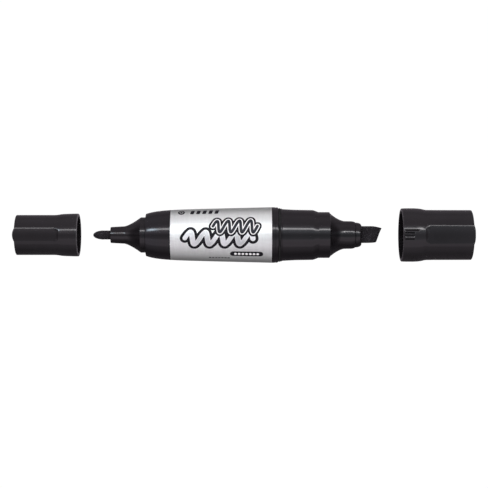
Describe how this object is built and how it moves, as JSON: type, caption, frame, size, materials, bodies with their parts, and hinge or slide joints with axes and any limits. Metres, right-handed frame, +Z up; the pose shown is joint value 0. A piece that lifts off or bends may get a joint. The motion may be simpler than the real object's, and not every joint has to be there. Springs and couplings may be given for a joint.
{
  "type": "felt tip marker",
  "caption": "Twin-tip felt marker with a bullet tip and a chisel tip, both caps pulled off along the pen, silver label on a tapered black barrel, and a screw-off chisel nose.",
  "frame": {"origin": "on the pen's axis, halfway between the closed ends of the two pulled-off caps", "axes": "+X along the pen from the bullet tip to the chisel tip, +Z up, -Y towards a viewer who reads the label"},
  "size_m": [0.203, 0.0248, 0.0248],
  "materials": {
    "body_plastic": "black injection-moulded plastic, semi-gloss with a fine moulded texture",
    "cap_plastic": "black injection-moulded plastic, semi-gloss",
    "label_film": "satin silver label film with black and white print",
    "nib_felt": "pressed felt soaked in black ink",
    "reservoir_fibre": "fibre wadding soaked in black ink",
    "reservoir_wrap": "thin clear plastic film",
    "gasket_rubber": "matt black rubber",
    "liner_plastic": "natural polyethylene, satin"
  },
  "bodies": {
    "barrel_unit": {"barrel": "body_plastic", "label": "label_film", "reservoir_core": "reservoir_fibre", "reservoir_film": "reservoir_wrap", "bullet_nose": "body_plastic", "bullet_nib": "nib_felt"},
    "gasket_unit": {"nose_gasket": "gasket_rubber"},
    "chisel_unit": {"chisel_nose": "body_plastic", "chisel_nib_ring": "body_plastic", "chisel_nib": "nib_felt"},
    "bullet_cap_unit": {"bullet_cap": "cap_plastic", "bullet_cap_liner": "liner_plastic"},
    "chisel_cap_unit": {"chisel_cap": "cap_plastic", "chisel_cap_liner": "liner_plastic"}
  },
  "joints": [
    {"name": "bullet_cap_slide", "type": "slide", "parent": "barrel_unit", "child": "bullet_cap_unit", "axis": [1, 0, 0], "range_m": [0, 0.02956]},
    {"name": "nose_advance", "type": "slide", "parent": "barrel_unit", "child": "gasket_unit", "axis": [1, 0, 0], "range_m": [0, 0.009]},
    {"name": "nose_turn", "type": "hinge", "parent": "gasket_unit", "child": "chisel_unit", "pos_m": [0.0162, 0, 0], "axis": [1, 0, 0], "range_deg": [0, 1082]},
    {"name": "chisel_cap_slide", "type": "slide", "parent": "chisel_unit", "child": "chisel_cap_unit", "axis": [-1, 0, 0], "range_m": [0, 0.0366]}
  ],
  "couplings": [
    {"joint": "nose_turn", "follows": "nose_advance", "rad_per_m": 2094.4}
  ]
}
